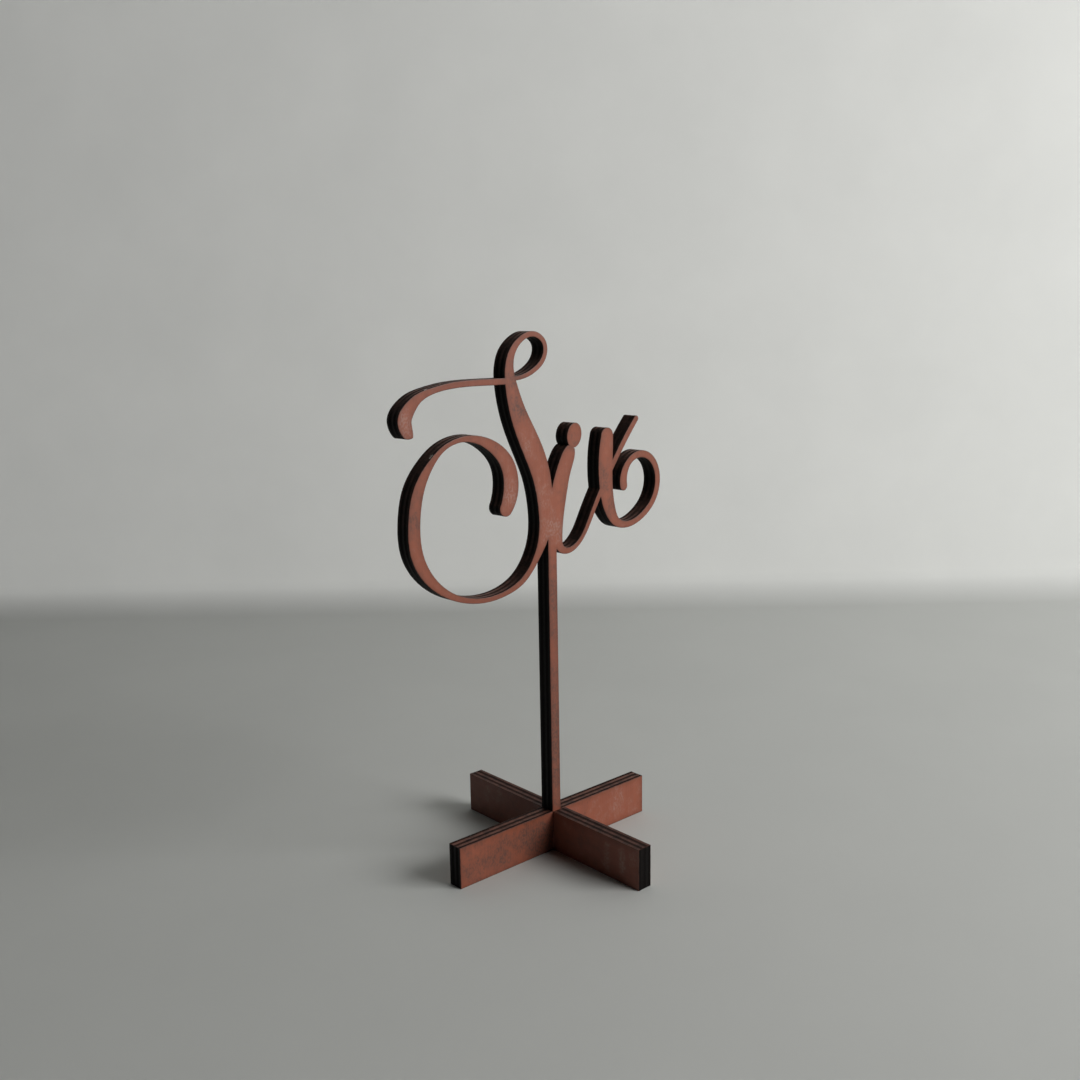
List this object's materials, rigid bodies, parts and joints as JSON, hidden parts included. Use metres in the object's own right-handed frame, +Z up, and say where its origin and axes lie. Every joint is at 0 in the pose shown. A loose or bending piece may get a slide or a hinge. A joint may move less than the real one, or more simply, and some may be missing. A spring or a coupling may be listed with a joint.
{
  "type": "table number stand",
  "caption": "Free-standing table number: a laser-cut plywood word on a slim stem, slotted at its foot over a crossing foot.",
  "frame": {"origin": "on the table surface, in the middle of the halving joint where the two boards cross", "axes": "+X along the number plate to the reader's right, +Y through the plate to its rear, +Z up"},
  "size_m": [0.1187, 0.0918, 0.1878],
  "materials": {
    "copper_stained_veneer": "satin copper-brown stain on the outer veneer",
    "crossband_edge": "laser-scorched edge of the crossband plies, long grain",
    "core_edge": "laser-scorched edge of the core ply, end grain"
  },
  "bodies": {
    "cross_foot": {"cross_foot_left_veneer": "copper_stained_veneer", "cross_foot_left_crossband": "crossband_edge", "cross_foot_core": "core_edge", "cross_foot_right_crossband": "crossband_edge", "cross_foot_right_veneer": "copper_stained_veneer"},
    "number_plate": {"number_plate_front_veneer": "copper_stained_veneer", "number_plate_front_crossband": "crossband_edge", "number_plate_core": "core_edge", "number_plate_rear_crossband": "crossband_edge", "number_plate_rear_veneer": "copper_stained_veneer"}
  },
  "joints": [
    {"name": "plate_lift", "type": "slide", "parent": "cross_foot", "child": "number_plate", "axis": [0, 0, 1], "range_m": [0, 0.02]}
  ]
}
